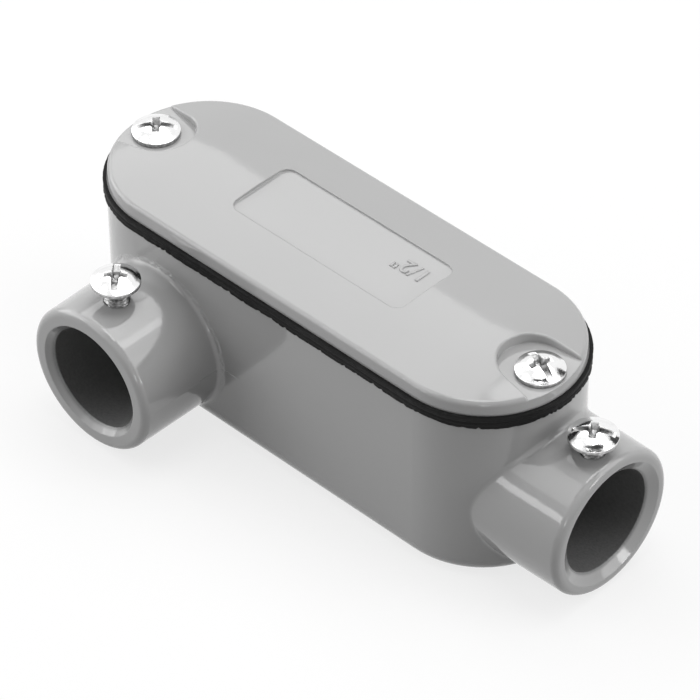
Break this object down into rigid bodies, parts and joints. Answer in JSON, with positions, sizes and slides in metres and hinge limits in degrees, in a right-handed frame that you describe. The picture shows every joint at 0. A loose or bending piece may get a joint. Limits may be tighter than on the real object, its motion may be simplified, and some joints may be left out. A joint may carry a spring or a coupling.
{
  "type": "conduit body",
  "caption": "Set-screw conduit body, LR pattern: a long rounded box with a hub on one end and a hub on one side, closed by a screwed-on domed cover over a gasket.",
  "frame": {"origin": "middle of the flat back of the box", "axes": "+X out of the end hub, -Y out of the side hub, +Z out of the open side towards the cover"},
  "size_m": [0.1061, 0.0503, 0.0383],
  "materials": {
    "grey_enamel": "glossy grey enamel with a slight orange peel over a die casting",
    "black_rubber": "matt black sheet rubber with a cut edge",
    "zinc_plate": "bright zinc plate"
  },
  "bodies": {
    "housing": {"conduit_body": "grey_enamel", "gasket": "black_rubber"},
    "lid": {"cover": "grey_enamel"},
    "cover_screw_left": {"cover_screw_left": "zinc_plate"},
    "cover_screw_right": {"cover_screw_right": "zinc_plate"},
    "set_screw_side": {"set_screw_side": "zinc_plate"},
    "set_screw_end": {"set_screw_end": "zinc_plate"}
  },
  "joints": [
    {"name": "cover_lift", "type": "slide", "parent": "housing", "child": "lid", "axis": [0, 0, 1], "range_m": [0, 0.014]},
    {"name": "cover_screw_left_travel", "type": "slide", "parent": "lid", "child": "cover_screw_left", "axis": [0, 0, 1], "range_m": [0, 0.0046]},
    {"name": "cover_screw_right_travel", "type": "slide", "parent": "lid", "child": "cover_screw_right", "axis": [0, 0, 1], "range_m": [0, 0.0046]},
    {"name": "set_screw_side_travel", "type": "slide", "parent": "housing", "child": "set_screw_side", "axis": [0, 0, 1], "range_m": [-0.0033, 0.0021]},
    {"name": "set_screw_end_travel", "type": "slide", "parent": "housing", "child": "set_screw_end", "axis": [0, 0, 1], "range_m": [-0.0023, 0.0031]}
  ]
}
